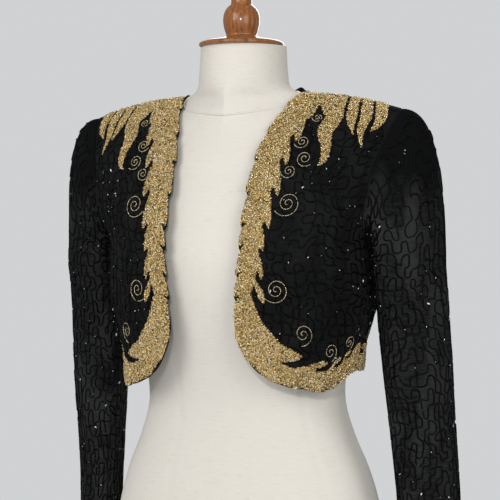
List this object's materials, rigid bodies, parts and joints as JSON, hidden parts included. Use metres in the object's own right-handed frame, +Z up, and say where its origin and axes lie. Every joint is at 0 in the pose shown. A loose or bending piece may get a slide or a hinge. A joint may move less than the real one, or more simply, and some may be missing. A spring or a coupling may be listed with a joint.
{
  "type": "matador jacket on a limbless dress form",
  "caption": "Cropped open-front evening jacket in black beaded cloth with gold leaf borders, worn on a limbless linen dress form with a turned wooden neck cap.",
  "frame": {"origin": "middle of the flat foot's underside, under the middle of the whole part", "axes": "+Z up, the open front faces -Y, the wearer's left side is +X"},
  "size_m": [0.5196, 0.2791, 0.8188],
  "materials": {
    "beaded_cloth": "black sheer cloth under meandering lines of black beads, with a few bright beads",
    "gold_beads": "close gold bugle and seed beads, glittering",
    "linen": "off-white closely woven linen, matt",
    "turned_wood": "orange-brown turned wood, glossy varnish"
  },
  "bodies": {
    "root": {"back": "beaded_cloth", "border_back": "gold_beads", "border_left": "gold_beads", "border_right": "gold_beads", "form_base": "turned_wood", "form_cap": "turned_wood", "form_torso": "linen", "front_left": "beaded_cloth", "front_right": "beaded_cloth", "leaf_back_left_5": "gold_beads", "leaf_back_left_6": "gold_beads", "leaf_back_left_7": "gold_beads", "leaf_back_left_8": "gold_beads", "leaf_back_right_5": "gold_beads", "leaf_back_right_6": "gold_beads", "leaf_back_right_7": "gold_beads", "leaf_back_right_8": "gold_beads", "leaf_front_left_1": "gold_beads", "leaf_front_left_2": "gold_beads", "leaf_front_left_3": "gold_beads", "leaf_front_left_4": "gold_beads", "leaf_front_right_1": "gold_beads", "leaf_front_right_2": "gold_beads", "leaf_front_right_3": "gold_beads", "leaf_front_right_4": "gold_beads", "sleeve_left": "beaded_cloth", "sleeve_right": "beaded_cloth"}
  },
  "joints": []
}
